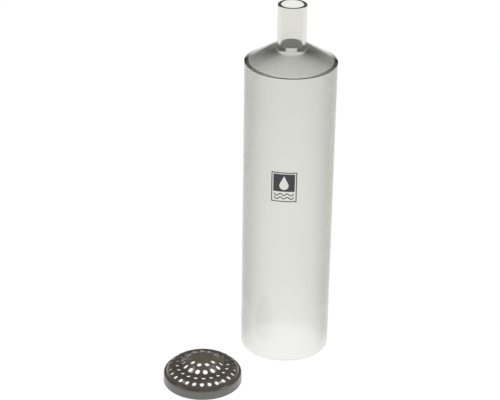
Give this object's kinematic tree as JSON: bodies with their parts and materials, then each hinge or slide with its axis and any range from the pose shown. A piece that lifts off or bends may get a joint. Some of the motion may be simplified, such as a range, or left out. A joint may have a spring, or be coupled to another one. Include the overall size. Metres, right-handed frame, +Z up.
{
  "type": "gravel cleaner suction tube",
  "caption": "Clear upright suction tube with conical shoulder and hose spigot, with a perforated domed strainer lying beside it.",
  "frame": {"origin": "on the tube's axis in the plane of its open mouth, which is also the surface that the tube and the strainer stand on", "axes": "+Z up along the tube's axis, out of the hose spigot; the printed mark faces about -Y, and the strainer lies towards -X -Y"},
  "size_m": [0.074, 0.0721, 0.1635],
  "materials": {
    "clear_tube": "clear styrene plastic, polished outside, faintly hazy inside",
    "clear_cap": "clear styrene plastic, polished outside",
    "clear_spigot": "clear styrene plastic, polished",
    "charcoal_plastic": "satin moulded plastic",
    "dark_ink": "screen-printed ink film"
  },
  "bodies": {
    "tube": {"suction_tube": "clear_tube", "shoulder_cap": "clear_cap", "hose_spigot": "clear_spigot", "printed_mark": "dark_ink"},
    "strainer": {"strainer": "charcoal_plastic"}
  },
  "joints": [
    {"name": "strainer_lift", "type": "slide", "parent": "tube", "child": "strainer", "axis": [0, 0, 1], "range_m": [0, 0.17]}
  ]
}
